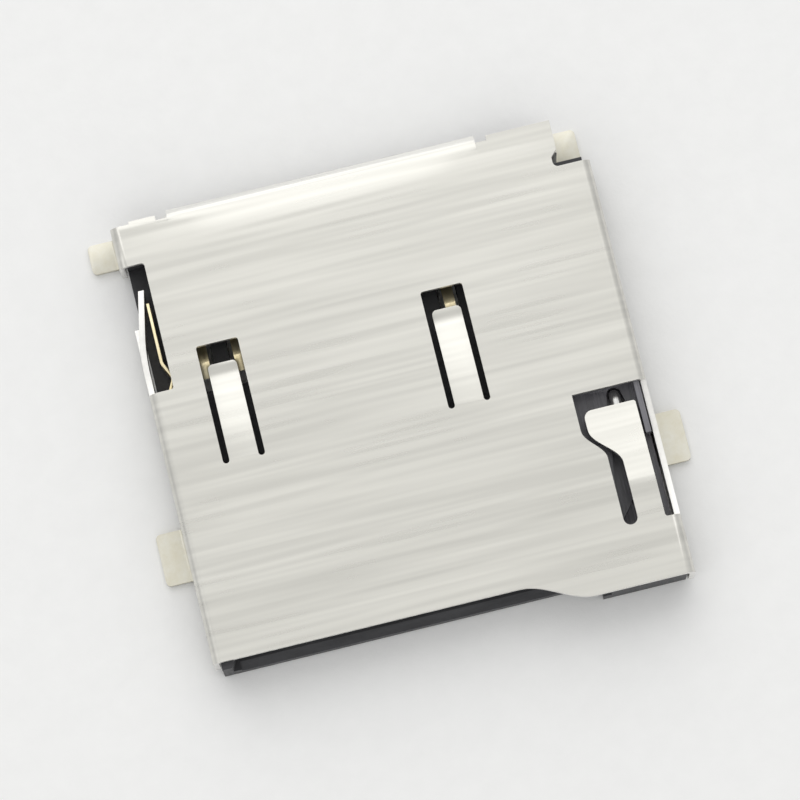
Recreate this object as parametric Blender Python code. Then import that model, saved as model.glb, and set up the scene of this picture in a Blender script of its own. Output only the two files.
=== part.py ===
"""Push-push microSD card connector: folded steel shell, moulded housing, eight spring contacts, a
card-detect spring, and the ejector: slider with heart-cam track, cam pin and coil spring.

Sizes are in millimetres and each finished mesh is set to metres. The card enters from -Y, and the
board is at Z = 0."""

import math

import bmesh
import bpy
from mathutils import Matrix, Vector

MM = 0.001

# Shell sheet
PLATE_WIDTH = 14.7
PLATE_LENGTH = 14.5
HEIGHT = 1.85
SHEET = 0.18
SIDE_BEND = 0.12
REAR_BEND = 0.27
TAB_BEND = 0.10
FLANGE_PROUD = 0.17
FLANGE_DROP = 0.90
WALL_LIFT = 0.30

# Front edge of the plate, cut back over the card slot
CUTBACK = 0.72
CUTBACK_FROM_RIGHT = 3.05
CUTBACK_RUN = 2.2

# Rear edge of the plate
RELIEF_WIDTH = 0.35
RELIEF_DEPTH = 0.15
LEFT_RELIEF_INSET = 1.43
RIGHT_RELIEF_INSET = 2.92
CORNER_STEP = 0.08
CORNER_STEP_INSET = 0.60

# Solder tabs
TAB_REACH = 0.85
TAB_CORNER = 0.15
FRONT_TAB_WIDTH = 1.62
FRONT_TAB_FROM_FRONT = 3.56
REAR_TAB_WIDTH = 0.92
REAR_TAB_FROM_REAR = 0.08
CORNER_LEG_INSET = 0.92
CORNER_TAB_REACH = 0.77
CORNER_NOTCH_LENGTH = 1.46
CORNER_RELIEF_LENGTH = 0.32
CORNER_RELIEF_BITE = 0.21
CORNER_RELIEF_RADIUS = 0.15

# Card and its slot
CARD_WIDTH = 11.0
CARD_THICKNESS = 0.70
CARD_NOSE_WIDTH = 9.7
CARD_LEFT_INSET = 0.83
CARD_SIDE_GAP = 0.05
CARD_HEADROOM = 0.25
CARD_STOP_FROM_REAR = 1.25

# Card hold-down fingers
HOLD_WIDTH = 0.90
HOLD_SLOT = 0.20
HOLD_ROOT_FROM_FRONT = 6.54
HOLD_WINDOW_LENGTH = 3.70
HOLD_TIP_GAP = 0.60
HOLD_KNEE = 1.20
HOLD_BEND = 12.0
HOLD_DROP = 0.30
HOLD_CURL = 0.06
HOLD_CURL_LENGTH = 0.32
HOLD_CURL_BEND = 0.9
LEFT_HOLD_FROM_CARD = 1.53
HOLD_SPACING = 6.99
HOLD_CORNER = 0.14
WINDOW_CORNER = 0.08

# Cam-pin finger
CAM_WINDOW_LENGTH = 4.25
CAM_WINDOW_FROM_FRONT = 1.82
CAM_FINGER_TIP_GAP = 0.53
CAM_FINGER_HEAD = 1.62
CAM_FINGER_NECK = 0.82
CAM_FINGER_RIGHT_INSET = 0.47
CAM_FINGER_CORNER = 0.25
CAM_SLOT_HEAD = 0.22
CAM_SLOT_NECK = 0.43
CAM_SHOULDER_FROM_TIP = 0.60
CAM_SHOULDER_RUN = 1.20
CAM_FINGER_KNEE = 1.24
CAM_FINGER_BEND = 3.0
CAM_FINGER_DROP = 0.30
WALL_CUT_DEPTH = 0.35

# Side leaf of the card-detect switch
LEAF_WINDOW_FROM_REAR = 1.35
LEAF_WINDOW_LENGTH = 4.0
LEAF_WINDOW_DEPTH = 0.78
LEAF_LENGTH = 3.25
LEAF_KNEE = 1.30
LEAF_BEND = 6.0
LEAF_TIP_SHIFT = 0.40
LEAF_SLOT = 0.10
WALL_STRIP_LENGTH = 2.25

# Snap windows in the shell and nibs on the housing
NIB_HEIGHT = 0.40
NIB_SILL = 0.70
NIB_REACH = 0.15
NIB_WIDTH = 0.36
NIB_GAP = 0.05
NIB_FROM_RAIL_FRONT = 2.2

# Clearances
FIT_GAP = 0.05
RUN_GAP = 0.05
SEAT_GAP = 0.02
BLADE_GAP = 0.20

# Housing
HOUSING_LIFT = 0.04
BAY_FLOOR = 0.30
BASE_SETBACK = 0.50
LEAD_IN = 0.25
FRONT_BLOCK_DEPTH = 0.92
BAY_END_FROM_REAR = 1.55
DIVIDER_FROM_REAR = 6.05
RAIL_END_FROM_REAR = 6.35
POCKET_FLOOR = 0.60
CORE_ROOF = 0.34
CORE_MARGIN = 0.60
CORE_RIB = 0.50
LEG_CLEARANCE = 1.30

# Contacts
CONTACT_COUNT = 8
CONTACT_PITCH = 1.10
FIRST_CONTACT_FROM_CARD = 1.00
CONTACT_WIDTH = 0.42
CONTACT_TIP_WIDTH = 0.32
CONTACT_STRIP = 0.12
CONTACT_SLOT = 0.60
CONTACT_RUN_Z = 0.32
CONTACT_CREST = 0.42
CREST_RADIUS = 0.22
ROOT_RADIUS = 0.40
CREST_FROM_REAR = 4.70
TIP_REACH = 0.42
TIP_DROP = 0.20
BEAM_ROOT_FROM_REAR = 1.65
BEAM_SLOT_FROM_REAR = 1.50
TAIL_LENGTH = 0.42
TAIL_LEAN = 0.10
TAIL_RADIUS = 0.10
SLOT_END_GAP = 0.35

# Card-detect spring
DETECT_STRIP = 0.10
DETECT_ROOT = 0.80
DETECT_ROOT_LENGTH = 0.90
DETECT_TOP_GAP = 0.22
DETECT_TIP_GAP = 0.42
DETECT_BUMP = 0.07
DETECT_BUMP_PLACE = 0.42
DETECT_BUMP_LENGTH = 1.00
DETECT_BUMP_RADIUS = 0.28
DETECT_LEAF_GAP = 0.05

# Ejector: slider, heart cam, pin and spring
LOCK_TRAVEL = 3.4
OVERTRAVEL = 0.6
SLIDER_LENGTH = 5.9
SLIDER_HEAD = 0.65
SLIDER_RAIL = 0.17
SLIDER_RAIL_LENGTH = 2.4
HOOK_FROM_FRONT = 1.93
HOOK_WIDTH = 1.25
HOOK_SHANK = 0.30
HOOK_SLANT = 0.80
HOOK_PAD = 0.60
HOOK_LIFT = 0.06
HOOK_TOP_GAP = 0.27
HOOK_CORNER = 0.12
PIN_DIAMETER = 0.32
PIN_LENGTH = 5.32
PIN_BEND = 0.24
PIN_FROM_WALL = 1.02
PIN_FROM_FRONT = 0.60
PIN_DECK_GAP = 0.06
PIN_TIP_GAP = 0.04
PIN_HOLE_WEB = 0.08
TRACK_WIDTH = 0.46
TRACK_WEB = 0.175
TRACK_STEP = 0.03
LOAD_SHIFT = 0.60
RETURN_SHIFT = 0.39
LATCH_SHIFT = 0.05
RETURN_STRAIGHT = 2.2
SPRING_WIRE = 0.20
SPRING_DIAMETER = 1.15
SPRING_TURNS = 8
PEG_GAP = 0.08
PEG_LENGTH = 0.80
STUB_LENGTH = 0.40

# Fineness of round shapes
BEND_STEPS = 6
CORNER_STEPS = 5
CURVE_STEPS = 14
HOLE_SIDES = 20
WIRE_SIDES = 12
COIL_SIDES = 8
COIL_SEGMENTS = 16
SHARP_ANGLE = 35

# Working allowances: how far a cutter clears, a joined shape bites in, and a choice of points reaches
CLEAR = 1.0
BITE = 0.2
REACH = 0.01
ROUND_SHORT = 0.001

# Places worked out from the sizes above; the flange's outer face is at REAR
FRONT = -(PLATE_LENGTH + FLANGE_PROUD) / 2
REAR = (PLATE_LENGTH + FLANGE_PROUD) / 2
PLATE_REAR = REAR - FLANGE_PROUD
WALL_OUT = PLATE_WIDTH / 2
WALL_IN = WALL_OUT - SHEET
TAB_END = WALL_OUT + TAB_REACH
CEILING = HEIGHT - SHEET
ABOVE = HEIGHT + CLEAR
HOUSING_SIDE = WALL_IN - FIT_GAP
HOUSING_TOP = CEILING - FIT_GAP
HOUSING_REAR = REAR - SHEET - FIT_GAP
HOUSING_FRONT = FRONT + FIT_GAP
BASE_FRONT = FRONT + BASE_SETBACK
CARD_LEFT = -WALL_OUT + CARD_LEFT_INSET
SLOT_LEFT = CARD_LEFT - CARD_SIDE_GAP
SLOT_RIGHT = CARD_LEFT + CARD_WIDTH + CARD_SIDE_GAP
NOSE_RIGHT = CARD_LEFT + CARD_NOSE_WIDTH + CARD_SIDE_GAP
BED = CEILING - CARD_THICKNESS - CARD_HEADROOM
CARD_STOP = PLATE_REAR - CARD_STOP_FROM_REAR
BLOCK_LEFT = SLOT_RIGHT + SEAT_GAP
BAY_FRONT = FRONT + FRONT_BLOCK_DEPTH
BAY_REAR = PLATE_REAR - BAY_END_FROM_REAR
SLIDER_FRONT = BAY_FRONT + RUN_GAP
SLIDER_REAR = SLIDER_FRONT + SLIDER_LENGTH
SLIDER_LEFT = SLOT_RIGHT + RUN_GAP
SLIDER_RIGHT = WALL_IN - RUN_GAP
SLIDER_TOP = CEILING - RUN_GAP
SLIDER_BOTTOM = BAY_FLOOR + RUN_GAP / 2
PIVOT_X = WALL_OUT - PIN_FROM_WALL
PIVOT_Y = FRONT + PIN_FROM_FRONT
PIN_Z = CEILING - CAM_FINGER_DROP - SEAT_GAP - PIN_DIAMETER / 2
SLIDER_DECK = PIN_Z - PIN_DIAMETER / 2 - PIN_DECK_GAP
LATCH_FLOOR = SLIDER_BOTTOM + TRACK_WEB
LOAD_FLOOR = LATCH_FLOOR + 2 * TRACK_STEP
PIN_HOLE_FLOOR = BAY_FLOOR + PIN_HOLE_WEB
TRAVEL = LOCK_TRAVEL + OVERTRAVEL
SPRING_X = (SLIDER_LEFT + SLIDER_RIGHT) / 2
SPRING_Z = (BAY_FLOOR + CEILING) / 2
PEG_RADIUS = SPRING_DIAMETER / 2 - SPRING_WIRE - PEG_GAP
LEG_X = WALL_OUT - CORNER_LEG_INSET
NOTCH_Y = PLATE_REAR - CORNER_NOTCH_LENGTH
FIRST_CONTACT = CARD_LEFT + FIRST_CONTACT_FROM_CARD
CONTACT_ROOF = CONTACT_RUN_Z + CONTACT_STRIP + SEAT_GAP
BEAM_ROOT = PLATE_REAR - BEAM_ROOT_FROM_REAR
CREST_Y = PLATE_REAR - CREST_FROM_REAR
TIP_Y = CREST_Y - TIP_REACH
DETECT_X = FIRST_CONTACT - CONTACT_PITCH
LEAF_ROOT = PLATE_REAR - LEAF_WINDOW_FROM_REAR - LEAF_WINDOW_LENGTH
LEAF_WINDOW_END = LEAF_ROOT + LEAF_WINDOW_LENGTH
LEAF_TIP = LEAF_ROOT + LEAF_LENGTH
LEAF_TOP = HEIGHT - WALL_CUT_DEPTH
LEAF_LOW = POCKET_FLOOR + BLADE_GAP
DETECT_TIP = LEAF_TIP - DETECT_TIP_GAP
DETECT_FRONT = LEAF_ROOT - DETECT_ROOT_LENGTH


def clear_scene():
    for thing in list(bpy.data.objects):
        bpy.data.objects.remove(thing, do_unlink=True)


def add_object(name, mesh):
    thing = bpy.data.objects.new(name, mesh)
    bpy.context.scene.collection.objects.link(thing)
    return thing


def mesh_from(bm, name):
    bmesh.ops.recalc_face_normals(bm, faces=bm.faces[:])
    mesh = bpy.data.meshes.new(name)
    bm.to_mesh(mesh)
    bm.free()
    return mesh


def prism(points, axis, low, high, name="solid"):
    """A flat outline carried from low to high along an axis: (y, z) on X, (x, z) on Y, (x, y) on Z."""
    place = {
        "X": lambda p, h: (h, p[0], p[1]),
        "Y": lambda p, h: (p[0], h, p[1]),
        "Z": lambda p, h: (p[0], p[1], h),
    }[axis]
    bm = bmesh.new()
    base = bm.faces.new([bm.verts.new(place(p, low)) for p in points])
    grown = bmesh.ops.extrude_face_region(bm, geom=[base])["geom"]
    reach = Vector(place((0, 0), high - low))
    bmesh.ops.translate(bm, verts=[v for v in grown if isinstance(v, bmesh.types.BMVert)], vec=reach)
    return add_object(name, mesh_from(bm, name))


def box(x, y, z):
    """A block, with the low and high end of each axis."""
    x, y = sorted(x), sorted(y)
    corners = [(x[0], y[0]), (x[1], y[0]), (x[1], y[1]), (x[0], y[1])]
    return prism(corners, "Z", z[0], z[1])


def ring(centre, radius, sides):
    angles = [2 * math.pi * k / sides for k in range(sides)]
    return [(centre[0] + radius * math.cos(a), centre[1] + radius * math.sin(a)) for a in angles]


def boolean(target, tool, operation):
    step = target.modifiers.new(operation, "BOOLEAN")
    step.operation = operation
    step.solver = "EXACT"
    step.object = tool
    graph = bpy.context.evaluated_depsgraph_get()
    result = bpy.data.meshes.new_from_object(target.evaluated_get(graph))
    target.modifiers.clear()
    target.data = result
    bpy.data.objects.remove(tool, do_unlink=True)


def cut(target, *tools):
    for tool in tools:
        boolean(target, tool, "DIFFERENCE")


def join(target, *tools):
    for tool in tools:
        boolean(target, tool, "UNION")


def fillet(points, steps=CORNER_STEPS, closed=True):
    """An outline of (a, b, radius) corners with each corner turned into an arc of its radius."""
    outline = []
    count = len(points)
    for i, (a, b, radius) in enumerate(points):
        corner = Vector((a, b))
        inner = closed or 0 < i < count - 1
        if not radius or not inner:
            outline.append(tuple(corner))
            continue
        before = (Vector(points[i - 1][:2]) - corner).normalized()
        after = (Vector(points[(i + 1) % count][:2]) - corner).normalized()
        half = before.angle(after) / 2
        centre = corner + (before + after).normalized() * radius / math.sin(half)
        start = corner + before * radius / math.tan(half) - centre
        end = corner + after * radius / math.tan(half) - centre
        sweep = start.angle_signed(end)
        for k in range(steps + 1):
            outline.append(tuple(centre + Matrix.Rotation(-sweep * k / steps, 2) @ start))
    return outline


def ease(share):
    return (1 - math.cos(math.pi * share)) / 2


def s_curve(start, end):
    """Points from start to end: the first value runs evenly and the second eases in and out."""
    (a0, b0), (a1, b1) = start, end
    shares = [k / CURVE_STEPS for k in range(CURVE_STEPS + 1)]
    return [(a0 + (a1 - a0) * s, b0 + (b1 - b0) * ease(s)) for s in shares]


def ribbon(path, thickness):
    """The outline of a strip of sheet whose middle runs along an open path."""
    left, right = [], []
    path = [Vector(p) for p in path]
    for i, point in enumerate(path):
        back = (point - path[i - 1]).normalized() if i else None
        ahead = (path[i + 1] - point).normalized() if i + 1 < len(path) else None
        along = ((back or ahead) + (ahead or back)).normalized()
        across = Vector((-along.y, along.x)) * thickness / 2 / along.dot(back or ahead)
        left.append(tuple(point + across))
        right.append(tuple(point - across))
    return left + right[::-1]


def stadium(start, end, radius):
    """The outline of a track with round ends between two points."""
    a, b = Vector(start), Vector(end)
    along = (b - a).normalized()
    across = Vector((-along.y, along.x)) * radius
    outline = []
    for centre, first in ((a, across), (b, -across)):
        for k in range(2 * CORNER_STEPS + 1):
            turn = math.pi * k / (2 * CORNER_STEPS)
            outline.append(tuple(centre + Matrix.Rotation(turn, 2) @ first))
    return outline


def tube(path, radius, sides, name):
    """A round wire along a path of 3D points, with closed ends."""
    curve = bpy.data.curves.new(name, "CURVE")
    curve.dimensions = "3D"
    curve.bevel_depth = radius
    curve.bevel_resolution = sides // 2 - 2
    curve.use_fill_caps = True
    spline = curve.splines.new("POLY")
    spline.points.add(len(path) - 1)
    for point, place in zip(spline.points, path):
        point.co = (*place, 1.0)
    guide = add_object(name + "_wire", curve)
    graph = bpy.context.evaluated_depsgraph_get()
    mesh = bpy.data.meshes.new_from_object(guide.evaluated_get(graph))
    bpy.data.objects.remove(guide, do_unlink=True)
    bpy.data.curves.remove(curve)
    bm = bmesh.new()
    bm.from_mesh(mesh)
    bmesh.ops.remove_doubles(bm, verts=bm.verts[:], dist=0.0001)
    bpy.data.meshes.remove(mesh)
    return add_object(name, mesh_from(bm, name))


def rod(centre, radius, low, high):
    """A round pin along Y, its centre given as (x, z)."""
    return prism(ring(centre, radius, HOLE_SIDES), "Y", low, high)


def bend(sheet, corners, chosen, along, across):
    """Bends the chosen points of a sheet. Its corners give (place along, shift across, radius)."""
    knots = fillet(corners, BEND_STEPS, closed=False)
    bm = bmesh.new()
    bm.from_mesh(sheet.data)
    bmesh.ops.triangulate(bm, faces=bm.faces[:])
    normal = Vector((0, 0, 0))
    normal[along] = 1
    for place, _ in knots[1:-1]:
        faces = [face for face in bm.faces if any(chosen(v.co) for v in face.verts)]
        geometry = dict.fromkeys(part for face in faces for part in (face, *face.edges, *face.verts))
        bmesh.ops.bisect_plane(
            bm, geom=list(geometry), plane_co=normal * place, plane_no=normal, dist=1e-5)
    bmesh.ops.triangulate(bm, faces=bm.faces[:])
    for vert in filter(lambda v: chosen(v.co), bm.verts):
        for (a, shift_a), (b, shift_b) in zip(knots, knots[1:]):
            if a < vert.co[along] <= b + REACH / 10:
                share = (vert.co[along] - a) / (b - a)
                vert.co[across] += shift_a + (shift_b - shift_a) * share
                break
    bm.to_mesh(sheet.data)
    bm.free()


def hat_section():
    """The shell's section: plate, walls and outward tabs folded from one sheet."""
    middle = SHEET / 2
    right = fillet([
        (0, HEIGHT - middle, 0),
        (WALL_OUT - middle, HEIGHT - middle, SIDE_BEND + middle),
        (WALL_OUT - middle, middle, TAB_BEND + middle),
        (TAB_END, middle, 0),
    ], BEND_STEPS, closed=False)
    left = [(-x, z) for x, z in right[:0:-1]]
    return ribbon(left + right, SHEET)


def hold_finger_centres():
    left = CARD_LEFT + LEFT_HOLD_FROM_CARD
    return left, left + HOLD_SPACING


def hold_finger_span():
    """Where a hold-down finger starts and ends, and where its window ends, along Y."""
    root = FRONT + HOLD_ROOT_FROM_FRONT
    end = root + HOLD_WINDOW_LENGTH
    return root, end - HOLD_TIP_GAP, end


def hold_finger_slot(centre):
    """The U-shaped slot that frees a card hold-down finger, with round ends at its root."""
    root, tip, end = hold_finger_span()
    inner = HOLD_WIDTH / 2
    outer = inner + HOLD_SLOT
    round_end = HOLD_SLOT / 2 - ROUND_SHORT
    return fillet([
        (centre - outer, root, round_end),
        (centre - outer, end, WINDOW_CORNER),
        (centre + outer, end, WINDOW_CORNER),
        (centre + outer, root, round_end),
        (centre + inner, root, round_end),
        (centre + inner, tip, HOLD_CORNER),
        (centre - inner, tip, HOLD_CORNER),
        (centre - inner, root, round_end),
    ])


def cam_finger():
    """The cam-pin finger's places: its root, tip, right edge, head and neck edges, and shoulder."""
    root = FRONT + CAM_WINDOW_FROM_FRONT
    tip = root + CAM_WINDOW_LENGTH - CAM_FINGER_TIP_GAP
    right = WALL_OUT - CAM_FINGER_RIGHT_INSET
    shoulder = tip - CAM_SHOULDER_FROM_TIP
    return root, tip, right, right - CAM_FINGER_HEAD, right - CAM_FINGER_NECK, shoulder


def cam_window():
    """The slot around the cam-pin finger; on the right it also opens the bend to the side wall."""
    root, tip, right, head, neck, shoulder = cam_finger()
    rear = tip + CAM_FINGER_TIP_GAP
    waist = shoulder - CAM_SHOULDER_RUN
    head_out, neck_out = head - CAM_SLOT_HEAD, neck - CAM_SLOT_NECK
    inner = [(x, y, 0) for y, x in s_curve((shoulder, head), (waist, neck))]
    outer = [(x, y, 0) for y, x in s_curve((waist + CAM_SLOT_HEAD, neck_out), (shoulder, head_out))]
    round_end = CAM_SLOT_NECK / 2 - ROUND_SHORT
    return fillet([
        (head_out, rear, 0),
        (WALL_OUT + CLEAR, rear, 0),
        (WALL_OUT + CLEAR, root, 0),
        (right, root, WINDOW_CORNER),
        (right, tip, WINDOW_CORNER),
        (head, tip, CAM_FINGER_CORNER),
        *inner,
        (neck, root, round_end),
        (neck_out, root, round_end),
        *outer,
    ])


def nib_places():
    """The snap nibs, as (side, middle along Y)."""
    block = (HOUSING_FRONT + BAY_FRONT) / 2
    rear_wall = (CARD_STOP + HOUSING_REAR) / 2
    return [(1, block), (-1, BASE_FRONT + NIB_FROM_RAIL_FRONT), (-1, rear_wall)]


def flange_ends():
    return -WALL_OUT + LEFT_RELIEF_INSET + RELIEF_WIDTH, WALL_OUT - RIGHT_RELIEF_INSET - RELIEF_WIDTH


def add_rear_flange(shell):
    """The flange bent down along the rear edge, between its two bend reliefs."""
    middle = SHEET / 2
    left, right = flange_ends()
    start = REAR - SHEET - REAR_BEND - 2 * BITE
    path = fillet([
        (start, HEIGHT - middle, 0),
        (REAR - middle, HEIGHT - middle, REAR_BEND + middle),
        (REAR - middle, HEIGHT - FLANGE_DROP, 0),
    ], BEND_STEPS, closed=False)
    cut(shell, box((left, right), (start + BITE, REAR + CLEAR), (CEILING - CLEAR / 2, ABOVE)))
    join(shell, prism(ribbon(path, SHEET), "X", left, right))


def add_corner_leg(shell):
    """The leg at the rear right corner, bent down from the plate and out along the board."""
    middle = SHEET / 2
    path = fillet([
        (LEG_X - SHEET - SIDE_BEND - 2 * BITE, HEIGHT - middle, 0),
        (LEG_X - middle, HEIGHT - middle, SIDE_BEND + middle),
        (LEG_X - middle, middle, TAB_BEND + middle),
        (LEG_X + CORNER_TAB_REACH, middle, 0),
    ], BEND_STEPS, closed=False)
    rear = PLATE_REAR - REAR_TAB_FROM_REAR
    leg = prism(ribbon(path, SHEET), "Y", rear - REAR_TAB_WIDTH, rear)
    round_tab_corners(leg, LEG_X + CORNER_TAB_REACH, (rear,))
    join(shell, leg)


def round_tab_corners(sheet, x, places):
    """Rounds a tab's outer corners, at x: first its rear end along Y, then its front end if given."""
    inward = -math.copysign(1, x)
    for y, forward in zip(places, (-1, 1)):
        centre = Vector((x + inward * TAB_CORNER, y + forward * TAB_CORNER))
        turns = [math.pi / 2 * k / CORNER_STEPS for k in range(CORNER_STEPS + 1)]
        arc = [(centre.x - inward * TAB_CORNER * math.cos(t), centre.y - forward * TAB_CORNER * math.sin(t))
               for t in turns]
        out_x, out_y = x - inward * TAB_CORNER, y - forward * TAB_CORNER
        outline = [(out_x, centre.y), *arc, (centre.x, out_y), (out_x, out_y)]
        cut(sheet, prism(outline, "Z", -TAB_CORNER, SHEET + TAB_BEND / 2))


def cut_tabs(shell):
    """Frees the side tabs: between them the walls end above the board."""
    front = (FRONT + FRONT_TAB_FROM_FRONT, FRONT + FRONT_TAB_FROM_FRONT + FRONT_TAB_WIDTH)
    rear = (PLATE_REAR - REAR_TAB_FROM_REAR - REAR_TAB_WIDTH, PLATE_REAR - REAR_TAB_FROM_REAR)
    gaps = [(FRONT - CLEAR, front[0]), (front[1], rear[0]), (rear[1], REAR + CLEAR)]
    for side in (-1, 1):
        for gap in gaps:
            cut(shell, box((side * (WALL_IN - BITE), side * (TAB_END + CLEAR)), gap, (-CLEAR, WALL_LIFT)))
        round_tab_corners(shell, side * TAB_END, front[::-1])
    round_tab_corners(shell, -TAB_END, rear[::-1])


def cut_plate_outline(shell):
    """The eased front edge, the notched rear right corner, and the reliefs and step of the rear edge."""
    far = TAB_END + CLEAR
    curve_end = WALL_OUT - CUTBACK_FROM_RIGHT
    curve = s_curve((curve_end - CUTBACK_RUN, FRONT + CUTBACK), (curve_end, FRONT - ROUND_SHORT))
    mouth = [(-far, FRONT - CLEAR), (-far, FRONT + CUTBACK), *curve, (curve_end, FRONT - CLEAR)]
    cut(shell, prism(mouth, "Z", -CLEAR, ABOVE))

    bite = LEG_X - CORNER_RELIEF_BITE
    notch = fillet([
        (LEG_X, REAR + CLEAR, 0),
        (LEG_X, NOTCH_Y + CORNER_RELIEF_LENGTH + CORNER_RELIEF_BITE, 0),
        (bite, NOTCH_Y + CORNER_RELIEF_LENGTH, CORNER_RELIEF_RADIUS / 2),
        (bite, NOTCH_Y, CORNER_RELIEF_RADIUS),
        (far, NOTCH_Y, 0),
        (far, REAR + CLEAR, 0),
    ])
    cut(shell, prism(notch, "Z", -CLEAR, ABOVE))


def cut_rear_edge(shell):
    left, right = flange_ends()
    relief = (PLATE_REAR - RELIEF_DEPTH, REAR + CLEAR)
    height = (HEIGHT - FLANGE_DROP - BITE, ABOVE)
    for start in (left - RELIEF_WIDTH, right):
        cut(shell, box((start, start + RELIEF_WIDTH), relief, height))
    step = (-WALL_OUT - CLEAR, -WALL_OUT + CORNER_STEP_INSET)
    cut(shell, box(step, (PLATE_REAR - CORNER_STEP, REAR + CLEAR), (WALL_LIFT, ABOVE)))


def cut_side_leaf(shell):
    """The window at the left edge, with a leaf and a short lower strip left standing in the side wall."""
    depth = -WALL_OUT + LEAF_WINDOW_DEPTH
    window = fillet([
        (-WALL_OUT - CLEAR, LEAF_ROOT, 0),
        (depth, LEAF_ROOT, WINDOW_CORNER),
        (depth, LEAF_WINDOW_END, WINDOW_CORNER),
        (-WALL_OUT - CLEAR, LEAF_WINDOW_END, 0),
    ])
    cut(shell, prism(window, "Z", LEAF_TOP, ABOVE))
    wall = (-WALL_OUT - CLEAR, -WALL_IN + BITE)
    slot_end = LEAF_TIP + BITE
    cut(shell, box(wall, (LEAF_TIP, LEAF_WINDOW_END), (WALL_LIFT - BITE, LEAF_TOP + BITE)))
    cut(shell, box(wall, (LEAF_ROOT, slot_end), (LEAF_LOW - LEAF_SLOT, LEAF_LOW)))
    strip_height = (WALL_LIFT - BITE, LEAF_LOW - LEAF_SLOT / 2)
    cut(shell, box(wall, (LEAF_ROOT + WALL_STRIP_LENGTH, slot_end), strip_height))


def cut_windows(shell):
    for centre in hold_finger_centres():
        cut(shell, prism(hold_finger_slot(centre), "Z", CEILING - BITE, ABOVE))
    cut(shell, prism(cam_window(), "Z", HEIGHT - WALL_CUT_DEPTH, ABOVE))
    sill = (NIB_SILL - NIB_GAP, NIB_SILL + NIB_HEIGHT + NIB_GAP)
    half = NIB_WIDTH / 2 + NIB_GAP
    for side, place in nib_places():
        wall = (side * (WALL_IN - BITE), side * (WALL_OUT + BITE))
        cut(shell, box(wall, (place - half, place + half), sill))


def bend_fingers(shell):
    """Bends the freed fingers down and the side leaf inward."""
    root, tip, _ = hold_finger_span()
    corners = [
        (root, 0, 0),
        (root + HOLD_KNEE, 0, HOLD_BEND),
        (tip - HOLD_CURL_LENGTH, -HOLD_DROP, HOLD_CURL_BEND),
        (tip, HOLD_CURL - HOLD_DROP, 0),
    ]
    edge = HOLD_WIDTH / 2 + HOLD_SLOT / 4

    def on_hold_finger(p):
        return p.z > CEILING - REACH and p.y < tip + REACH and min(
            abs(p.x - centre) for centre in hold_finger_centres()) < edge

    bend(shell, corners, on_hold_finger, 1, 2)

    root, tip, right, head, neck, shoulder = cam_finger()
    corners = [(root, 0, 0), (root + CAM_FINGER_KNEE, 0, CAM_FINGER_BEND), (tip, -CAM_FINGER_DROP, 0)]

    def on_cam_finger(p):
        share = min(max((shoulder - p.y) / CAM_SHOULDER_RUN, 0), 1)
        left_edge = head + (neck - head) * ease(share)
        across = left_edge - CAM_SLOT_HEAD / 4 < p.x < right + CAM_SLOT_HEAD / 4
        return p.z > CEILING - REACH and p.y < tip + REACH and across

    bend(shell, corners, on_cam_finger, 1, 2)

    def on_leaf(p):
        in_height = LEAF_LOW - REACH < p.z < LEAF_TOP + REACH
        return in_height and p.x < -WALL_IN + REACH and p.y < LEAF_TIP + REACH

    corners = [(LEAF_ROOT, 0, 0), (LEAF_ROOT + LEAF_KNEE, 0, LEAF_BEND), (LEAF_TIP, LEAF_TIP_SHIFT, 0)]
    bend(shell, corners, on_leaf, 1, 0)


def build_shell():
    """The shell, one folded sheet: plate, walls, tabs, rear flange, corner leg, fingers, side leaf."""
    shell = prism(hat_section(), "Y", FRONT, PLATE_REAR, "shell")
    cut_tabs(shell)
    cut_plate_outline(shell)
    add_rear_flange(shell)
    add_corner_leg(shell)
    cut_rear_edge(shell)
    cut_side_leaf(shell)
    cut_windows(shell)
    bend_fingers(shell)
    return shell


def contact_centres():
    return [FIRST_CONTACT + CONTACT_PITCH * k for k in range(CONTACT_COUNT)]


def tail_path(radius):
    """The middle of a solder tail and the rise to its run, as (y, z)."""
    middle = CONTACT_STRIP / 2
    knee = REAR - TAIL_LENGTH
    return [(REAR, middle, 0), (knee, middle, radius), (knee - TAIL_LEAN, CONTACT_RUN_Z + middle, radius)]


def contact_path():
    """The middle line of a contact, as (y, z) from its solder tail to its tip."""
    middle = CONTACT_STRIP / 2
    crest = BED + CONTACT_CREST
    return fillet([
        *tail_path(TAIL_RADIUS),
        (BEAM_ROOT, CONTACT_RUN_Z + middle, ROOT_RADIUS),
        (CREST_Y, crest - middle, CREST_RADIUS),
        (TIP_Y, crest - TIP_DROP, 0),
    ], closed=False)


def build_contact(number, centre):
    """A contact strip, narrowing from its root to its tip."""
    half = CONTACT_WIDTH / 2
    contact = prism(ribbon(contact_path(), CONTACT_STRIP), "X", -half, half, f"contact_{number}")
    for vert in contact.data.vertices:
        share = min(max((BEAM_ROOT - vert.co.y) / (BEAM_ROOT - TIP_Y), 0), 1)
        vert.co.x *= 1 + (CONTACT_TIP_WIDTH / CONTACT_WIDTH - 1) * share
        vert.co.x += centre
    return contact


def detect_blade_x():
    """The blade's middle, set by its gap to the shell's side leaf."""
    slope = LEAF_TIP_SHIFT / (LEAF_LENGTH - LEAF_KNEE)
    leaf_inner = -WALL_IN + slope * (DETECT_TIP - LEAF_ROOT - LEAF_KNEE)
    return leaf_inner + DETECT_LEAF_GAP + DETECT_STRIP / 2


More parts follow.
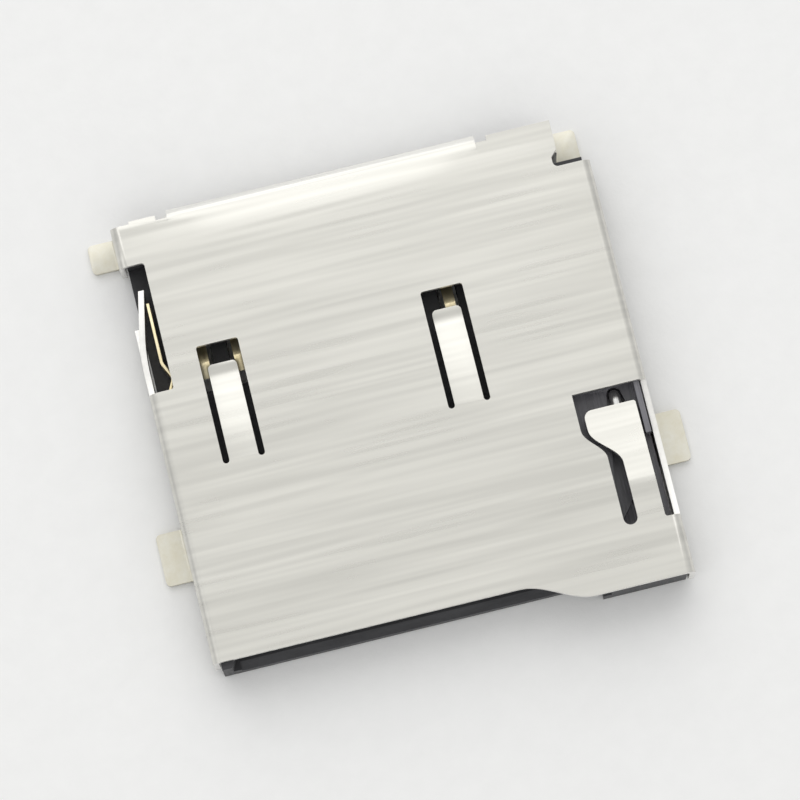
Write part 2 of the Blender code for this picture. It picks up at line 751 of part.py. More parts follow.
def build_detect_spring():
    """The card-detect contact: a strip from the tail row, and a blade that stands up beside the card."""
    blade_x = detect_blade_x()
    bump_x = CARD_LEFT + DETECT_BUMP - DETECT_STRIP / 2
    bump_y = LEAF_ROOT + DETECT_BUMP_PLACE
    half = DETECT_BUMP_LENGTH / 2
    path = fillet([
        (blade_x, DETECT_FRONT, 0),
        (blade_x, bump_y - half, DETECT_BUMP_RADIUS),
        (bump_x, bump_y, DETECT_BUMP_RADIUS),
        (blade_x, bump_y + half, DETECT_BUMP_RADIUS),
        (blade_x, DETECT_TIP, 0),
    ], closed=False)
    blade = prism(ribbon(path, DETECT_STRIP), "Z", CONTACT_RUN_Z, CEILING - DETECT_TOP_GAP, "detect_spring")
    under = (CONTACT_RUN_Z - CLEAR, POCKET_FLOOR + BLADE_GAP)
    cut(blade, box((blade_x - CLEAR, CARD_LEFT + CLEAR), (DETECT_FRONT + DETECT_ROOT, REAR), under))
    run = (DETECT_FRONT, CONTACT_RUN_Z + CONTACT_STRIP / 2, 0)
    strip = fillet([*tail_path(TAIL_RADIUS), run], closed=False)
    half = CONTACT_WIDTH / 2
    join(blade, prism(ribbon(strip, CONTACT_STRIP), "X", DETECT_X - half, DETECT_X + half))
    return blade


def chamfer_corner(x, y, toward):
    """A wedge that opens a mouth's corner at (x, y) towards the given side."""
    return [
        (x + toward * LEAD_IN, y),
        (x, y + 2 * LEAD_IN),
        (x - toward * LEAD_IN, y + 2 * LEAD_IN),
        (x - toward * LEAD_IN, y - LEAD_IN),
        (x + toward * LEAD_IN, y - LEAD_IN),
    ]


def cut_card_slot(housing):
    """The card's bed and slot, with lead-ins at its mouth, and the wall beside the card's narrow end."""
    side = HOUSING_SIDE + CLEAR
    cut(housing, box((-side, BLOCK_LEFT), (HOUSING_FRONT - CLEAR, BASE_FRONT), (-CLEAR, ABOVE)))
    cut(housing, box((SLOT_LEFT, SLOT_RIGHT), (FRONT - CLEAR, CARD_STOP), (BED, ABOVE)))
    along = (PLATE_REAR - DIVIDER_FROM_REAR, CARD_STOP + BITE)
    join(housing, box((NOSE_RIGHT + CARD_SIDE_GAP, SLOT_RIGHT), along, (BED - BITE, HOUSING_TOP)))
    ramp = [
        (BASE_FRONT - LEAD_IN, BED - 2 * LEAD_IN),
        (BASE_FRONT - LEAD_IN, BED + LEAD_IN),
        (BASE_FRONT + 2 * LEAD_IN, BED + LEAD_IN),
    ]
    cut(housing, prism(ramp, "X", SLOT_LEFT, BLOCK_LEFT))
    cut(housing, prism(chamfer_corner(SLOT_LEFT, BASE_FRONT, -1), "Z", BED, ABOVE))
    cut(housing, prism(chamfer_corner(BLOCK_LEFT, HOUSING_FRONT, 1), "Z", BED, ABOVE))


def cut_contact_slots(housing):
    """A slot under each contact's beam and a close channel for its run and tail."""
    slot = (TIP_Y - SLOT_END_GAP, PLATE_REAR - BEAM_SLOT_FROM_REAR)
    channel = (TIP_Y - SLOT_END_GAP / 2, REAR + CLEAR)
    for centre in contact_centres():
        half = CONTACT_SLOT / 2
        cut(housing, box((centre - half, centre + half), slot, (-CLEAR, ABOVE)))
        half = CONTACT_WIDTH / 2 + SEAT_GAP
        cut(housing, box((centre - half, centre + half), channel, (-CLEAR, CONTACT_ROOF)))


def cut_detect_pocket(housing):
    """The pocket at the left edge where the card-detect blade and the shell's leaf meet."""
    pocket = (-HOUSING_SIDE - CLEAR, SLOT_LEFT + BITE / 2)
    cut(housing, box(pocket, (PLATE_REAR - RAIL_END_FROM_REAR, CARD_STOP), (POCKET_FLOOR, ABOVE)))
    half = CONTACT_WIDTH / 2 + SEAT_GAP
    start = DETECT_FRONT - FIT_GAP
    cut(housing, box((DETECT_X - half, DETECT_X + half), (start, REAR + CLEAR), (-CLEAR, CONTACT_ROOF)))
    half = DETECT_STRIP / 2 + FIT_GAP
    blade_x = detect_blade_x()
    root = (start, DETECT_FRONT + DETECT_ROOT + FIT_GAP)
    cut(housing, box((blade_x - half, blade_x + 2 * half), root, (-CLEAR, ABOVE)))


def cut_slider_bay(housing):
    """The slider's bay, open to the shell's wall, with the pin's pivot hole and the spring's stub."""
    side = HOUSING_SIDE + CLEAR
    cut(housing, box((SLOT_RIGHT, side), (BAY_FRONT, BAY_REAR), (BAY_FLOOR, ABOVE)))
    half = PIN_DIAMETER / 2 + FIT_GAP
    groove = (PIVOT_Y - half - FIT_GAP, BAY_FRONT + BITE)
    cut(housing, box((PIVOT_X - 2 * half, PIVOT_X + 2 * half), groove, (SLIDER_DECK, ABOVE)))
    cut(housing, prism(ring((PIVOT_X, PIVOT_Y), half, HOLE_SIDES), "Z", PIN_HOLE_FLOOR, ABOVE))
    join(housing, rod((SPRING_X, SPRING_Z), PEG_RADIUS, BAY_REAR - STUB_LENGTH, BAY_REAR + BITE))


def cut_cores(housing):
    """Two shallow cores under the card bed, either side of a rib."""
    middle = (SLOT_LEFT + SLOT_RIGHT) / 2
    along = (BASE_FRONT + CORE_MARGIN, TIP_Y - SLOT_END_GAP - CORE_MARGIN)
    cut(housing, box((SLOT_LEFT + CORE_MARGIN, middle - CORE_RIB / 2), along, (-CLEAR, CORE_ROOF)))
    cut(housing, box((middle + CORE_RIB / 2, SLOT_RIGHT - CORE_MARGIN), along, (-CLEAR, CORE_ROOF)))


def nib(side, place):
    """A snap nib: flat below, sloping above, so the shell's wall rides over it and drops behind."""
    inner = side * (HOUSING_SIDE - BITE)
    outer = side * (HOUSING_SIDE + NIB_REACH)
    wedge = [
        (inner, NIB_SILL),
        (outer, NIB_SILL),
        (outer, NIB_SILL + NIB_HEIGHT / 3),
        (inner, NIB_SILL + NIB_HEIGHT),
    ]
    return prism(wedge, "Y", place - NIB_WIDTH / 2, place + NIB_WIDTH / 2)


def build_housing():
    """The moulded base: card bed and slot, contact slots, detect pocket, slider bay and rear wall."""
    housing = box((-HOUSING_SIDE, HOUSING_SIDE), (HOUSING_FRONT, HOUSING_REAR), (HOUSING_LIFT, HOUSING_TOP))
    side = HOUSING_SIDE + CLEAR
    cut_card_slot(housing)
    cut_slider_bay(housing)
    cut_detect_pocket(housing)
    cut_contact_slots(housing)
    cut_cores(housing)
    leg_room = (LEG_X - SHEET - FIT_GAP, side)
    cut(housing, box(leg_room, (PLATE_REAR - LEG_CLEARANCE, REAR + CLEAR), (-CLEAR, ABOVE)))
    back = [
        (HOUSING_REAR - 2 * REAR_BEND, HOUSING_TOP + REAR_BEND),
        (HOUSING_REAR + REAR_BEND, HOUSING_TOP - 2 * REAR_BEND),
        (HOUSING_REAR + REAR_BEND, HOUSING_TOP + REAR_BEND),
    ]
    cut(housing, prism(back, "X", -side, side))
    for nib_side, place in nib_places():
        join(housing, nib(nib_side, place))
    return housing


def follower(travel):
    """Where the pin's follower stands on the slider, in the slider's rest place, at a given travel."""
    angle = math.asin(LOAD_SHIFT / PIN_LENGTH) * travel / TRAVEL
    return PIVOT_X - PIN_LENGTH * math.sin(angle), PIVOT_Y + PIN_LENGTH * math.cos(angle) - travel


def cut_track(slider):
    """The heart-cam track: each run has its own floor, so the pin goes round it in one direction."""
    rest = follower(0)
    deep = follower(TRAVEL)
    latch = (PIVOT_X - LATCH_SHIFT, rest[1] - LOCK_TRAVEL)
    far = (PIVOT_X + RETURN_SHIFT, deep[1])
    back = (far[0], deep[1] + RETURN_STRAIGHT)
    runs = [
        (rest, deep, LOAD_FLOOR),
        (deep, latch, LOAD_FLOOR - TRACK_STEP),
        (latch, far, LATCH_FLOOR),
        (far, back, LATCH_FLOOR),
        (back, rest, LOAD_FLOOR + 2 * TRACK_STEP),
    ]
    for start, end, floor in runs:
        cut(slider, prism(stadium(start, end, TRACK_WIDTH / 2), "Z", floor, ABOVE))


def build_slider():
    """The slider: hook into the card's path, heart-cam track on its deck, side rail and spring peg."""
    slider = box((SLIDER_LEFT, SLIDER_RIGHT), (SLIDER_FRONT, SLIDER_REAR), (SLIDER_BOTTOM, SLIDER_TOP))
    head = SLIDER_REAR - SLIDER_HEAD
    rail = SLIDER_RIGHT - SLIDER_RAIL
    front = SLIDER_FRONT - CLEAR
    rail_front = SLIDER_REAR - SLIDER_RAIL_LENGTH
    over_deck = (SLIDER_DECK, ABOVE)
    cut(slider, box((SLIDER_LEFT - CLEAR, rail), (front, head), over_deck))
    cut(slider, box((rail - BITE, SLIDER_RIGHT + CLEAR), (front, rail_front), over_deck))

    hook_front = SLIDER_FRONT + HOOK_FROM_FRONT
    hook_rear = hook_front + HOOK_WIDTH
    root = SLIDER_LEFT + HOOK_PAD
    hook = fillet([
        (root, hook_front, 0),
        (SLIDER_LEFT - HOOK_SHANK, hook_front, HOOK_CORNER),
        (NOSE_RIGHT, hook_front + HOOK_SLANT, HOOK_CORNER),
        (NOSE_RIGHT, hook_rear, HOOK_CORNER),
        (root, hook_rear, 0),
    ])
    join(slider, prism(hook, "Z", BED + HOOK_LIFT, CEILING - HOOK_TOP_GAP))
    join(slider, rod((SPRING_X, SPRING_Z), PEG_RADIUS, SLIDER_REAR - BITE, SLIDER_REAR + PEG_LENGTH))
    cut_track(slider)
    return slider


def pin_path():
    """The cam pin's middle line: up out of its pivot, along over the slider, and down into the track."""
    rear = PIVOT_Y + PIN_LENGTH
    corners = fillet([
        (PIVOT_Y, PIN_HOLE_FLOOR + SEAT_GAP, 0),
        (PIVOT_Y, PIN_Z, PIN_BEND),
        (rear, PIN_Z, PIN_BEND),
        (rear, LOAD_FLOOR + PIN_TIP_GAP, 0),
    ], closed=False)
    return [(PIVOT_X, y, z) for y, z in corners]


def spring_path():
    """A compression spring along Y with one closed turn at each end."""
    low = SLIDER_REAR + RUN_GAP + SPRING_WIRE / 2
    high = BAY_REAR - RUN_GAP - SPRING_WIRE / 2
    radius = (SPRING_DIAMETER - SPRING_WIRE) / 2
    closed = SPRING_WIRE + SEAT_GAP
    pitch = (high - low - 2 * closed) / SPRING_TURNS
    path = []
    for k in range((SPRING_TURNS + 2) * COIL_SEGMENTS + 1):
        turn = k / COIL_SEGMENTS
        open_turns = min(max(turn - 1, 0), SPRING_TURNS)
        rise = pitch * open_turns + closed * (turn - open_turns)
        angle = 2 * math.pi * turn
        path.append((SPRING_X + radius * math.cos(angle), low + rise, SPRING_Z + radius * math.sin(angle)))
    return path


def material(name, colour, roughness, metallic):
    made = bpy.data.materials.new(name)
    made.use_nodes = True
    shader = made.node_tree.nodes["Principled BSDF"]
    shader.inputs["Base Color"].default_value = (*colour, 1.0)
    shader.inputs["Roughness"].default_value = roughness
    shader.inputs["Metallic"].default_value = metallic
    return made


def finish(thing, name, surface, root, origin, smooth=True):
    """Sets a piece to metres, with its own origin, material and parent."""
    thing.name = name
    thing.data.name = name
    origin = Vector(origin)
    thing.data.transform(Matrix.Scale(MM, 4) @ Matrix.Translation(-origin))
    thing.location = origin * MM
    thing.parent = root
    thing.data.materials.clear()
    thing.data.materials.append(surface)
    if smooth:
        thing.data.shade_smooth()
        thing.data.set_sharp_from_angle(angle=math.radians(SHARP_ANGLE))


def main():
    clear_scene()
    root = bpy.data.objects.new("microsd_connector", None)
    bpy.context.scene.collection.objects.link(root)
    steel = material("stainless_sheet", (0.62, 0.60, 0.55), 0.32, 1.0)
    gold = material("gold_plate", (0.86, 0.70, 0.36), 0.28, 1.0)
    wire = material("spring_wire", (0.66, 0.66, 0.66), 0.25, 1.0)
    resin = material("housing_resin", (0.018, 0.018, 0.020), 0.55, 0.0)
    nylon = material("slider_resin", (0.030, 0.030, 0.033), 0.45, 0.0)

    finish(build_shell(), "shell", steel, root, (0, 0, 0))
    finish(build_housing(), "housing", resin, root, (0, 0, 0), smooth=False)
    for number, centre in enumerate(contact_centres(), 1):
        finish(build_contact(number, centre), f"contact_{number}", gold, root, (centre, REAR, 0))
    finish(build_detect_spring(), "detect_spring", gold, root, (DETECT_X, REAR, 0))
    finish(build_slider(), "slider", nylon, root, (SPRING_X, SLIDER_REAR, SPRING_Z), smooth=False)
    pin = tube(pin_path(), PIN_DIAMETER / 2, WIRE_SIDES, "cam_pin")
    finish(pin, "cam_pin", wire, root, (PIVOT_X, PIVOT_Y, 0))
    spring = tube(spring_path(), SPRING_WIRE / 2, COIL_SIDES, "eject_spring")
    finish(spring, "eject_spring", wire, root, (SPRING_X, BAY_REAR, SPRING_Z))


main()
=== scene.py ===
import math

import bmesh
import bpy
from mathutils import Matrix, Vector
from mathutils.bvhtree import BVHTree


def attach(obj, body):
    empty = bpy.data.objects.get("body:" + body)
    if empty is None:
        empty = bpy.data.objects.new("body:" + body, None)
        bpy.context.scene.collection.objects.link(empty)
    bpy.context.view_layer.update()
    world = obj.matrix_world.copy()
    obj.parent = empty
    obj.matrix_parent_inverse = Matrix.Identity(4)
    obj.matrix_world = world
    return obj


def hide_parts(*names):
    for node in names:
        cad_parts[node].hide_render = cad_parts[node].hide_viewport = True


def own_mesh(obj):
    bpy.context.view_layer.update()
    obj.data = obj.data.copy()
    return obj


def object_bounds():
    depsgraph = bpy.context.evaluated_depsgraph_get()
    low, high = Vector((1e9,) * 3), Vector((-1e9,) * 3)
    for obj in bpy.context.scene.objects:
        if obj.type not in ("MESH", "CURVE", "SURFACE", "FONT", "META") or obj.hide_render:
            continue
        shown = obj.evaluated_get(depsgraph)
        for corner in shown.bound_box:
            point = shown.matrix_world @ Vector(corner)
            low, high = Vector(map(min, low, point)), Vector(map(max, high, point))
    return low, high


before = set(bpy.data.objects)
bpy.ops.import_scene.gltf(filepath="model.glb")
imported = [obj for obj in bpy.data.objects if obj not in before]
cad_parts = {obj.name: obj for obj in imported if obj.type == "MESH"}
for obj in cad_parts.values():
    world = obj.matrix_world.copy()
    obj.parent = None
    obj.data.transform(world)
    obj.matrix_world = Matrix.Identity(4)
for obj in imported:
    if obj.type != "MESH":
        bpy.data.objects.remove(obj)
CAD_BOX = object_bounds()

MM = 0.001
UP = Vector((0, 0, 1))

# Camera: the photograph's direction and roll, with a lens that lets the part fill the frame
VIEW_FROM = Vector((-0.0217, -0.1749, 0.9838))
VIEW_UP = Vector((0.2362, 0.9547, 0.1780))
VIEW_DISTANCE = 145 * MM
LENS = 215
SENSOR = 36
CLIP_START = 1 * MM

# Light
WORLD_HORIZON = (0.60, 0.605, 0.61)
WORLD_ZENITH = (0.87, 0.87, 0.86)
SOFTBOXES = {
    "rear_softbox": {
        "direction": (0.04, 0.745, 0.667), "distance": 0.34, "width": 0.44, "depth": 0.41, "radiance": 0.75,
    },
    "left_softbox": {
        "direction": (-1.0, -0.2, 0.8), "distance": 0.40, "width": 0.20, "depth": 0.20, "radiance": 0.5,
    },
}

# Floor
FLOOR_DROP = 0.02 * MM
FLOOR_SIZE = 40.0

# Clean-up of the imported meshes
WELD = 0.0001 * MM
FLAT_ANGLE = math.radians(0.3)

# Rounded edges. Each width is the most that a piece may get, because the overlap clamp holds the whole piece
# to its tightest corner. An edge that looks into the part gets only a share of the shell's rounding
SHARP_ANGLE = math.radians(28)
PART_MIDDLE = Vector((0, 0, 0.6)) * MM
ROUNDING_STEPS = 2
SHELL_ROUNDING = 0.022 * MM
SHELL_INNER_SHARE = 0.4
HOUSING_ROUNDING = 0.025 * MM
STRIP_ROUNDING = 0.012 * MM
SLIDER_ROUNDING = 0.02 * MM
WIRE_ROUNDING = 0.01 * MM

# Shell: its sheet, the top of its solder tabs, and how many sheets lie behind a face that was cut
SHELL_SHEET = 0.18 * MM
TAB_TOP = 0.305 * MM
CUT_DEPTH = 1.4
ROLLED, SHEARED, PLATED = range(3)

# The plate's sag before its rear bend: where along the plate it starts and ends, and its shape across. It
# fades over the flange's drop, so that the flange's lower edge stays in place
FLANGE_LEFT = -5.57 * MM
FLANGE_RIGHT = 4.08 * MM
FLANGE_DROP = 0.90 * MM
SAG = 0.092 * MM
SAG_START = CAD_BOX[1].y - 1.15 * MM
SAG_END = CAD_BOX[1].y - 0.15 * MM
SAG_SKEW = 0.9
SAG_FULLNESS = 0.75
SAG_ROWS = 8
SAG_COLUMNS = 16

# Rolling grain: how much slower it changes along its lines, and how far the surface turns to the rear while
# the grain turns down the flange with it. Then how far it turns to the rear while the colour goes over to a
# painted highlight, lighter steel where the surface faces the rear
GRAIN_STRETCH = 0.03
GRAIN_TURN = (0.3, 0.9)
PAINTED_HIGHLIGHT_TURN = (0.35, 0.65)

# Colours; a pair runs between its two
ROLLED_STEEL = (0.70, 0.69, 0.645)
# Painted highlight: a near-white steel colour, painted where the sheet faces the rear
PAINTED_REAR_HIGHLIGHT = (0.95, 0.94, 0.90)
# Cut faces: lighter than the rolled sheet, a painted highlight along the shell's edges
SHEARED_STEEL_WITH_PAINTED_HIGHLIGHT = (0.88, 0.87, 0.84)
TAB_PLATING = ((0.67, 0.64, 0.53), (0.75, 0.735, 0.66))
GOLD = ((0.87, 0.74, 0.44), (0.93, 0.83, 0.58))
HOUSING_BLACK = ((0.024, 0.024, 0.027), (0.048, 0.048, 0.052))
SLIDER_BLACK = ((0.14, 0.138, 0.152), (0.20, 0.197, 0.215))
WIRE_STEEL = (0.76, 0.755, 0.74)
PAPER = (0.90, 0.90, 0.895)


# Shapes
def welded(node):
    """A bmesh of a CAD node's faces, with its corners shared and its flat areas in one piece."""
    bm = bmesh.new()
    bm.from_mesh(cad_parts[node].data)
    bmesh.ops.remove_doubles(bm, verts=bm.verts, dist=WELD)
    bmesh.ops.dissolve_limit(bm, angle_limit=FLAT_ANGLE, verts=bm.verts, edges=bm.edges)
    bm.normal_update()
    return bm


def face_points(bm):
    """A point on each face, the middle of its widest triangle: the face's own middle may lie in a hole."""
    widest = {}
    for loops in bm.calc_loop_triangles():
        face = loops[0].face
        a, b, c = (loop.vert.co for loop in loops)
        area = (b - a).cross(c - a).length
        if area > widest.get(face, (0.0, None))[0]:
            widest[face] = area, (a + b + c) / 3
    return {face: point for face, (_, point) in widest.items()}


def sheared_faces(bm):
    """The shell's cut faces: a rolled face has one sheet's thickness behind it, and a cut one has more."""
    tree = BVHTree.FromBMesh(bm)
    cut = set()
    for face, point in face_points(bm).items():
        distance = tree.ray_cast(point - face.normal * WELD, -face.normal)[3]
        if distance is None or distance > CUT_DEPTH * SHELL_SHEET:
            cut.add(face)
    return cut


def looks_out(face):
    """Whether a face looks away from the part's middle."""
    return (face.calc_center_median() - PART_MIDDLE).dot(face.normal) > 0


def weigh_edges(bm, inner_share):
    """Gives each sharp edge its share of the rounding: all of it outside, inner_share on the inner side."""
    layer = bm.edges.layers.float.new("bevel_weight_edge")
    for edge in bm.edges:
        if len(edge.link_faces) == 2 and edge.calc_face_angle(0) >= SHARP_ANGLE:
            outside = all(looks_out(face) for face in edge.link_faces)
            edge[layer] = 1.0 if outside else inner_share


def dressed(node, body, rounding, materials, paint=None, inner_share=1.0):
    """The piece that stands for a node: the same shape with rounded edges and its materials."""
    bm = welded(node)
    if paint:
        paint(bm)
    weigh_edges(bm, inner_share)
    mesh = bpy.data.meshes.new(node + "_dressed")
    bm.to_mesh(mesh)
    bm.free()
    if "custom_normal" in mesh.attributes:
        mesh.attributes.remove(mesh.attributes["custom_normal"])
    mesh.shade_smooth()
    for material in materials:
        mesh.materials.append(material)
    piece = bpy.data.objects.new(node + "_dressed", mesh)
    bpy.context.scene.collection.objects.link(piece)
    bevel = piece.modifiers.new("rounded_edges", "BEVEL")
    bevel.limit_method = "WEIGHT"
    bevel.width = rounding
    bevel.segments = ROUNDING_STEPS
    piece.modifiers.new("even_shading", "WEIGHTED_NORMAL")
    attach(piece, body)
    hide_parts(node)
    return piece


def steps(start, end, count):
    """Places at equal steps from start to end, with both of them."""
    return [start + (end - start) * step / count for step in range(count + 1)]


def sliced(bm, axis, places, chosen):
    """Cuts the chosen faces into strips by planes across an axis."""
    normal = Vector((0, 0, 0))
    normal[axis] = 1
    for place in places:
        faces = [face for face in bm.faces if chosen(face)]
        parts = dict.fromkeys(part for face in faces for part in (face, *face.edges, *face.verts))
        bmesh.ops.bisect_plane(bm, geom=list(parts), plane_co=normal * place, plane_no=normal, dist=WELD)


def over_flange(left, right):
    """Whether a stretch across the part reaches over the flange's width, by more than a weld."""
    return left < FLANGE_RIGHT - WELD and right > FLANGE_LEFT + WELD


def in_sag(face):
    """Whether a face reaches over the flange's width and past the start of the sag."""
    across = [vert.co.x for vert in face.verts]
    reach = max(vert.co.y for vert in face.verts)
    return over_flange(min(across), max(across)) and reach > SAG_START + WELD


def sag_rear_edge(bm):
    """The press drew the plate down a little before its rear bend, most in the middle of the flange."""
    sliced(bm, 1, steps(SAG_START, SAG_END, SAG_ROWS), in_sag)
    sliced(bm, 0, steps(FLANGE_LEFT, FLANGE_RIGHT, SAG_COLUMNS)[1:-1], in_sag)
    for vert in bm.verts:
        if over_flange(vert.co.x, vert.co.x) and vert.co.y > SAG_START:
            along = min((vert.co.y - SAG_START) / (SAG_END - SAG_START), 1.0)
            across = ((vert.co.x - FLANGE_LEFT) / (FLANGE_RIGHT - FLANGE_LEFT)) ** SAG_SKEW
            depth = math.sin(math.pi * across) ** SAG_FULLNESS
            above_flange_end = 1 - min((CAD_BOX[1].z - vert.co.z) / FLANGE_DROP, 1.0)
            vert.co.z -= SAG * along * along * (3 - 2 * along) * depth * above_flange_end
    bm.normal_update()


def paint_shell(bm):
    """Gives the shell's faces their materials, by how each was made, and then the sag. The cut faces'
    material also carries a painted highlight.
    """
    cut = sheared_faces(bm)
    for face in bm.faces:
        if face.calc_center_median().z < TAB_TOP:
            face.material_index = PLATED
        else:
            face.material_index = SHEARED if face in cut else ROLLED
    sag_rear_edge(bm)


# Materials
class Shader:
    """One material's node tree, filled by short calls. Lengths in its coordinates are in millimetres."""

    def __init__(self, name, **surface):
        self.material = bpy.data.materials.new(name)
        self.material.use_nodes = True
        self.tree = self.material.node_tree
        self.surface = self.tree.nodes["Principled BSDF"]
        for socket, value in surface.items():
            self.feed(socket.replace("_", " ").title().replace("Ior", "IOR"), value)

    def feed(self, socket, value, node=None):
        """Sets or links an input of a node, or of the surface itself."""
        target = (node or self.surface).inputs[socket]
        if isinstance(value, bpy.types.NodeSocket):
            self.tree.links.new(value, target)
        else:
            target.default_value = value

    def add(self, kind, inputs, out=0, **settings):
        """Adds a node and gives back one of its outputs."""
        node = self.tree.nodes.new(kind)
        for name, value in settings.items():
            setattr(node, name, value)
        for socket, value in inputs.items():
            self.feed(socket, value, node)
        return node.outputs[out]

    def place(self, stretch=(1, 1, 1)):
        """Object coordinates in millimetres, each multiplied by its stretch."""
        scale = [factor / MM for factor in stretch]
        where = self.add("ShaderNodeTexCoord", {}, out="Object")
        return self.times(where, scale)

    def times(self, vector, factors):
        return self.add("ShaderNodeVectorMath", {0: vector, 1: factors}, operation="MULTIPLY")

    def facing(self, axis):
        """How far the surface faces along an axis of the part, from -1 to 1."""
        normal = self.add("ShaderNodeTexCoord", {}, out="Normal")
        return self.add("ShaderNodeSeparateXYZ", {0: normal}, out=axis)

    def noise(self, vector, scale=1.0, detail=3.0, roughness=0.5):
        inputs = {"Vector": vector, "Scale": scale, "Detail": detail, "Roughness": roughness}
        return self.add("ShaderNodeTexNoise", inputs, out="Fac")

    def spread(self, value, low=0.0, high=1.0, at=(0.3, 0.7)):
        """Maps a value that runs over at to low..high."""
        inputs = {"Value": value, "From Min": at[0], "From Max": at[1], "To Min": low, "To Max": high}
        return self.add("ShaderNodeMapRange", inputs)

    def maths(self, operation, first, second):
        return self.add("ShaderNodeMath", {0: first, 1: second}, operation=operation)

    def tint(self, colour, factor):
        """A colour made lighter or darker by a factor."""
        return self.add("ShaderNodeVectorMath", {0: colour, "Scale": factor}, operation="SCALE")

    def blend(self, factor, first, second):
        """The first colour at factor 0, and the second at 1."""
        inputs = {0: factor, 6: (*first, 1), 7: (*second, 1)}
        return self.add("ShaderNodeMix", inputs, out=2, data_type="RGBA")

    def finished(self, colour, roughness, height, depth):
        """The material with its colour, its roughness, and a bump of height times depth, a length."""
        self.feed("Base Color", colour)
        self.feed("Roughness", roughness)
        bump = self.add("ShaderNodeBump", {"Height": height, "Strength": 1.0, "Distance": depth})
        self.feed("Normal", bump)
        return self.material


def rolled_steel_with_painted_highlight():
    """Stainless sheet: its rolling grain lies across the card's path, and a painted highlight lightens the
    steel where it faces the rear, over the rear bend and flange.
    """
    steel = Shader("rolled_steel_with_painted_highlight", metallic=1.0)
    rearward = steel.facing("Y")
    down_the_flange = steel.spread(rearward, GRAIN_STRETCH, 1.0, at=GRAIN_TURN)
    unfolded = steel.add("ShaderNodeCombineXYZ", {"X": GRAIN_STRETCH, "Y": 1.0, "Z": down_the_flange})
    sheet = steel.times(steel.place(), unfolded)
    grain = steel.noise(sheet, scale=2.6, detail=1.0)
    fine = steel.noise(sheet, scale=7.0, detail=0.0)
    clouds = steel.noise(steel.place((0.30, 0.45, 0.45)), detail=2.0)
    light = steel.maths("MULTIPLY", steel.spread(grain, 0.945, 1.035), steel.spread(fine, 0.935, 1.035))
    # Painted highlight: the steel colour turns lighter where the surface faces the rear, over the rear bend
    # and flange
    steel_and_painted_highlight = steel.blend(steel.spread(rearward, at=PAINTED_HIGHLIGHT_TURN), ROLLED_STEEL, PAINTED_REAR_HIGHLIGHT)
    roughness = steel.maths("ADD", steel.spread(fine, 0.275, 0.305), steel.spread(clouds, -0.015, 0.02))
    return steel.finished(steel.tint(steel_and_painted_highlight, light), roughness, grain, 0.0002 * MM)


def sheared_steel_with_painted_highlight():
    """The punched edge of the sheet, with shear lines down its thickness, and a lighter colour that paints a
    highlight along the cut edges.
    """
    steel = Shader("sheared_steel_with_painted_highlight", metallic=1.0)
    lines = steel.noise(steel.place((6.0, 6.0, 0.8)), detail=2.0)
    # The lighter colour is a painted highlight on the cut edges, and the shear lines vary it a little
    colour = steel.tint(SHEARED_STEEL_WITH_PAINTED_HIGHLIGHT, steel.spread(lines, 0.94, 1.03))
    return steel.finished(colour, steel.spread(lines, 0.36, 0.48), lines, 0.001 * MM)


def tab_plating():
    """The warm, slightly cloudy plating on the solder tabs."""
    plating = Shader("tab_plating", metallic=1.0)
    clouds = plating.noise(plating.place(), scale=3.0, detail=5.0, roughness=0.6)
    grain = plating.noise(plating.place((1.0, 9.0, 9.0)))
    colour = plating.blend(plating.spread(clouds), *TAB_PLATING)
    height = plating.maths("ADD", clouds, grain)
    return plating.finished(colour, plating.spread(clouds, 0.38, 0.50), height, 0.001 * MM)


def contact_gold():
    """Gold plating over a copper alloy strip, with the strip's grain along its length."""
    gold = Shader("contact_gold", metallic=1.0)
    grain = gold.noise(gold.place((10.0, 0.7, 10.0)), detail=4.0)
    clouds = gold.noise(gold.place(), scale=1.6)
    colour = gold.blend(gold.spread(clouds), *GOLD)
    return gold.finished(colour, gold.spread(grain, 0.30, 0.42), grain, 0.0006 * MM)


def housing_resin():
    """Black glass-filled liquid-crystal polymer: matt, with pale flow streaks and fibre speckle."""
    resin = Shader("housing_resin", specular_ior_level=0.42)
    streaks = resin.noise(resin.place((0.5, 2.2, 2.2)), detail=5.0, roughness=0.65)
    fibres = resin.noise(resin.place((14.0, 14.0, 14.0)))
    colour = resin.blend(resin.spread(streaks), *HOUSING_BLACK)
    height = resin.maths("ADD", fibres, resin.maths("MULTIPLY", streaks, 0.6))
    return resin.finished(colour, resin.spread(fibres, 0.42, 0.60), height, 0.003 * MM)


def slider_resin():
    """The slider's black acetal: smoother than the housing, with rub marks along its travel."""
    resin = Shader("slider_resin", specular_ior_level=0.5)
    rub = resin.noise(resin.place((9.0, 0.5, 9.0)), detail=4.0)
    grain = resin.noise(resin.place((8.0, 8.0, 8.0)))
    colour = resin.blend(resin.spread(rub), *SLIDER_BLACK)
    return resin.finished(colour, resin.spread(rub, 0.22, 0.34), grain, 0.002 * MM)


def drawn_wire():
    """Spring wire with faint drawing lines."""
    wire = Shader("drawn_wire", metallic=1.0)
    lines = wire.noise(wire.place((12.0, 2.0, 12.0)), detail=4.0)
    colour = wire.tint(WIRE_STEEL, wire.spread(lines, 0.92, 1.04))
    return wire.finished(colour, wire.spread(lines, 0.30, 0.42), lines, 0.001 * MM)


def paper_floor():
    """A pale matt floor with the faintest paper tooth."""
    paper = Shader("paper_floor", specular_ior_level=0.2)
    tooth = paper.noise(paper.place(), scale=1.2, detail=5.0, roughness=0.6)
    colour = paper.tint(PAPER, paper.spread(tooth, 0.985, 1.01))
    return paper.finished(colour, 0.9, tooth, 0.02 * MM)


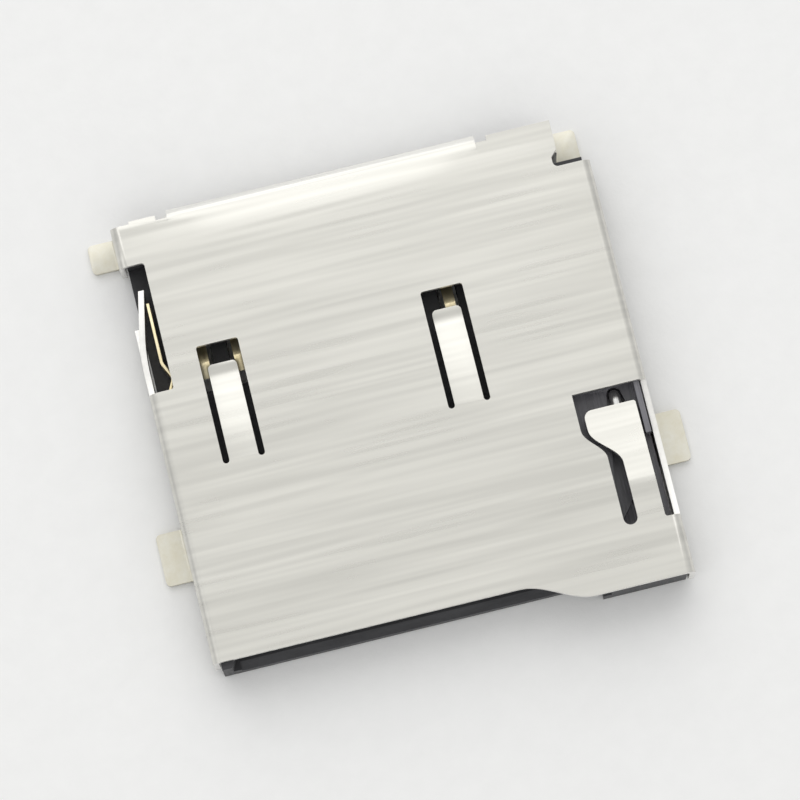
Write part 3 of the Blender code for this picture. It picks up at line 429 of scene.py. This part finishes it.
# Pieces
def add_pieces():
    gold, wire = [contact_gold()], [drawn_wire()]
    steel = [rolled_steel_with_painted_highlight(), sheared_steel_with_painted_highlight(), tab_plating()]
    dressed("shell", "base", SHELL_ROUNDING, steel, paint_shell, SHELL_INNER_SHARE)
    dressed("housing", "base", HOUSING_ROUNDING, [housing_resin()])
    for number in range(1, 9):
        dressed(f"contact_{number}", "base", STRIP_ROUNDING, gold)
    dressed("detect_spring", "base", STRIP_ROUNDING, gold)
    dressed("slider", "slider", SLIDER_ROUNDING, [slider_resin()])
    dressed("cam_pin", "cam_pin", WIRE_ROUNDING, wire)
    spring = dressed("eject_spring", "base", WIRE_ROUNDING, wire)
    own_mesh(spring)


# Stage
def aim(thing, place, target, up):
    """Stands a camera or lamp at place, looking at target."""
    back = (place - target).normalized()
    right = up.cross(back).normalized()
    turn = Matrix((right, back.cross(right), back)).transposed().to_4x4()
    thing.matrix_world = Matrix.Translation(place) @ turn
    bpy.context.scene.collection.objects.link(thing)


def add_camera(target):
    data = bpy.data.cameras.new("camera")
    data.lens = LENS
    data.sensor_width = SENSOR
    data.clip_start = CLIP_START
    camera = bpy.data.objects.new("camera", data)
    aim(camera, target + VIEW_FROM.normalized() * VIEW_DISTANCE, target, VIEW_UP)
    bpy.context.scene.camera = camera


def add_lamps(target):
    for name, box in SOFTBOXES.items():
        data = bpy.data.lights.new(name, "AREA")
        data.shape = "RECTANGLE"
        data.size = box["width"]
        data.size_y = box["depth"]
        data.energy = math.pi * box["width"] * box["depth"] * box["radiance"]
        lamp = bpy.data.objects.new(name, data)
        lamp.visible_camera = False
        aim(lamp, target + Vector(box["direction"]).normalized() * box["distance"], target, UP)


def light_world():
    """A pale room that is lighter overhead."""
    world = bpy.data.worlds.new("studio")
    bpy.context.scene.world = world
    world.use_nodes = True
    nodes, links = world.node_tree.nodes, world.node_tree.links
    ramp = nodes.new("ShaderNodeValToRGB")
    ramp.color_ramp.elements[0].color = (*WORLD_HORIZON, 1)
    ramp.color_ramp.elements[1].color = (*WORLD_ZENITH, 1)
    split = nodes.new("ShaderNodeSeparateXYZ")
    links.new(nodes.new("ShaderNodeTexCoord").outputs["Generated"], split.inputs[0])
    links.new(split.outputs["Z"], ramp.inputs["Fac"])
    links.new(ramp.outputs["Color"], nodes["Background"].inputs["Color"])


def add_floor():
    mesh = bpy.data.meshes.new("floor")
    half = FLOOR_SIZE / 2
    corners = [(x * half, y * half, -FLOOR_DROP) for x, y in ((-1, -1), (1, -1), (1, 1), (-1, 1))]
    mesh.from_pydata(corners, [], [(0, 1, 2, 3)])
    mesh.materials.append(paper_floor())
    floor = bpy.data.objects.new("floor", mesh)
    bpy.context.scene.collection.objects.link(floor)


add_pieces()
middle = (CAD_BOX[0] + CAD_BOX[1]) / 2
add_camera(middle)
add_lamps(middle)
light_world()
add_floor()
bpy.context.scene.view_settings.view_transform = "Standard"
